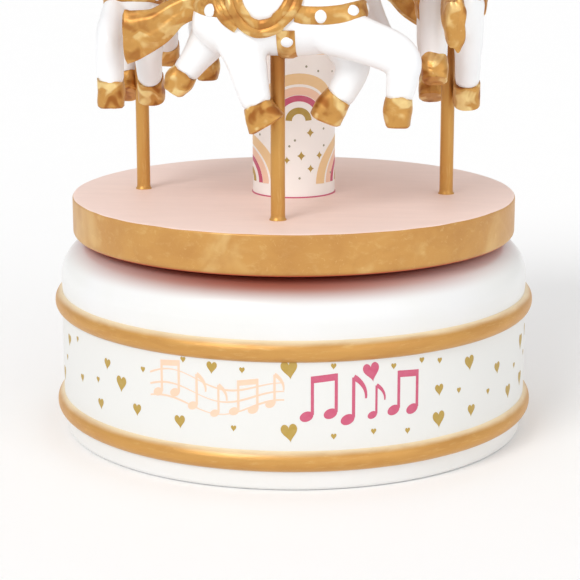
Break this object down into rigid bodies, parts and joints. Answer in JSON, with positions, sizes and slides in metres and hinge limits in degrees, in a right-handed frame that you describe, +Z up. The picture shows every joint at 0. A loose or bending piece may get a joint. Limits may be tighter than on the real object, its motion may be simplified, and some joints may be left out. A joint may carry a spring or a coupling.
{
  "type": "carousel music box",
  "caption": "Wind-up music box: a round base turns a platform with horses on poles, a printed centre column and a tent canopy with a finial.",
  "frame": {"origin": "middle of the base's underside, on the spindle's axis", "axes": "+Z up along the spindle; the front horse stands at -Y and heads towards +X"},
  "size_m": [0.115, 0.115, 0.1874],
  "materials": {
    "white_lacquer": "white gloss lacquer on cast resin",
    "gold_paint": "metallic gold paint, brushed by hand",
    "horse_paint": "cast resin, gloss white with hand-painted gold",
    "casing_paint": "cast resin, gloss white lacquer with gold-painted beads",
    "platform_paint": "cast resin, pale pink top and gold-painted rim",
    "canopy_paint": "cast resin, painted white, pink and gold",
    "finial_paint": "cast resin, gold paint",
    "printed_film": "printed and varnished",
    "brass": "turned and polished",
    "steel": "bright",
    "zinc_casting": "die-cast zinc, satin",
    "black_board": "hardboard, matt black",
    "white_nylon": "moulded nylon"
  },
  "bodies": {
    "base": {"base_casing": "casing_paint", "base_print_band": "printed_film", "spindle_bush": "brass", "bottom_cover": "black_board", "cover_screw_1": "steel", "cover_screw_2": "steel", "cover_screw_3": "steel", "movement_screw_1": "steel", "movement_screw_2": "steel", "movement_screw_3": "steel", "movement_bedplate": "zinc_casting", "tone_comb": "steel", "comb_screw_1": "steel", "comb_screw_2": "steel", "governor_bracket": "zinc_casting", "governor_screw": "steel", "clutch_coil": "steel"},
    "turntable": {"spring_barrel": "brass", "barrel_gear": "brass", "mainspring": "steel", "drive_spindle": "steel", "hub_nut": "steel", "turntable_disc": "platform_paint", "centre_column": "white_lacquer", "column_print_wrap": "printed_film", "pole_front": "gold_paint", "pole_right": "gold_paint", "pole_back": "gold_paint", "pole_left": "gold_paint", "horse_front": "horse_paint", "horse_right": "horse_paint", "horse_back": "horse_paint", "horse_left": "horse_paint", "canopy_ceiling": "canopy_paint", "canopy_screw": "steel", "canopy_valance": "canopy_paint", "canopy_roof": "canopy_paint", "finial": "finial_paint"},
    "winding": {"winding_arbor": "steel", "winding_key": "steel"},
    "cylinder": {"cylinder_arbor": "steel", "cylinder_pinion": "brass", "pinned_cylinder": "brass", "cylinder_gear": "brass"},
    "governor_wheel": {"governor_arbor": "steel", "governor_pinion": "steel", "worm_wheel": "white_nylon"},
    "governor_fan": {"governor_worm": "steel", "air_brake_fan": "white_nylon"}
  },
  "joints": [
    {"name": "turntable_spin", "type": "hinge", "parent": "base", "child": "turntable", "pos_m": [0, 0, 0.047], "axis": [0, 0, 1], "continuous": true},
    {"name": "winding_key_turn", "type": "hinge", "parent": "base", "child": "winding", "pos_m": [0, 0, 0.01], "axis": [0, 0, 1], "continuous": true},
    {"name": "cylinder_spin", "type": "hinge", "parent": "base", "child": "cylinder", "pos_m": [0.025, 0, 0.02652], "axis": [1, 0, 0], "continuous": true},
    {"name": "governor_wheel_spin", "type": "hinge", "parent": "base", "child": "governor_wheel", "pos_m": [0.038, 0.00864, 0.02652], "axis": [1, 0, 0], "continuous": true},
    {"name": "governor_fan_spin", "type": "hinge", "parent": "base", "child": "governor_fan", "pos_m": [0.0389, 0.01434, 0.02652], "axis": [0, 0, 1], "continuous": true}
  ],
  "couplings": [
    {"joint": "cylinder_spin", "follows": "turntable_spin", "ratio": 4},
    {"joint": "governor_wheel_spin", "follows": "turntable_spin", "ratio": -14},
    {"joint": "governor_fan_spin", "follows": "turntable_spin", "ratio": 112}
  ]
}
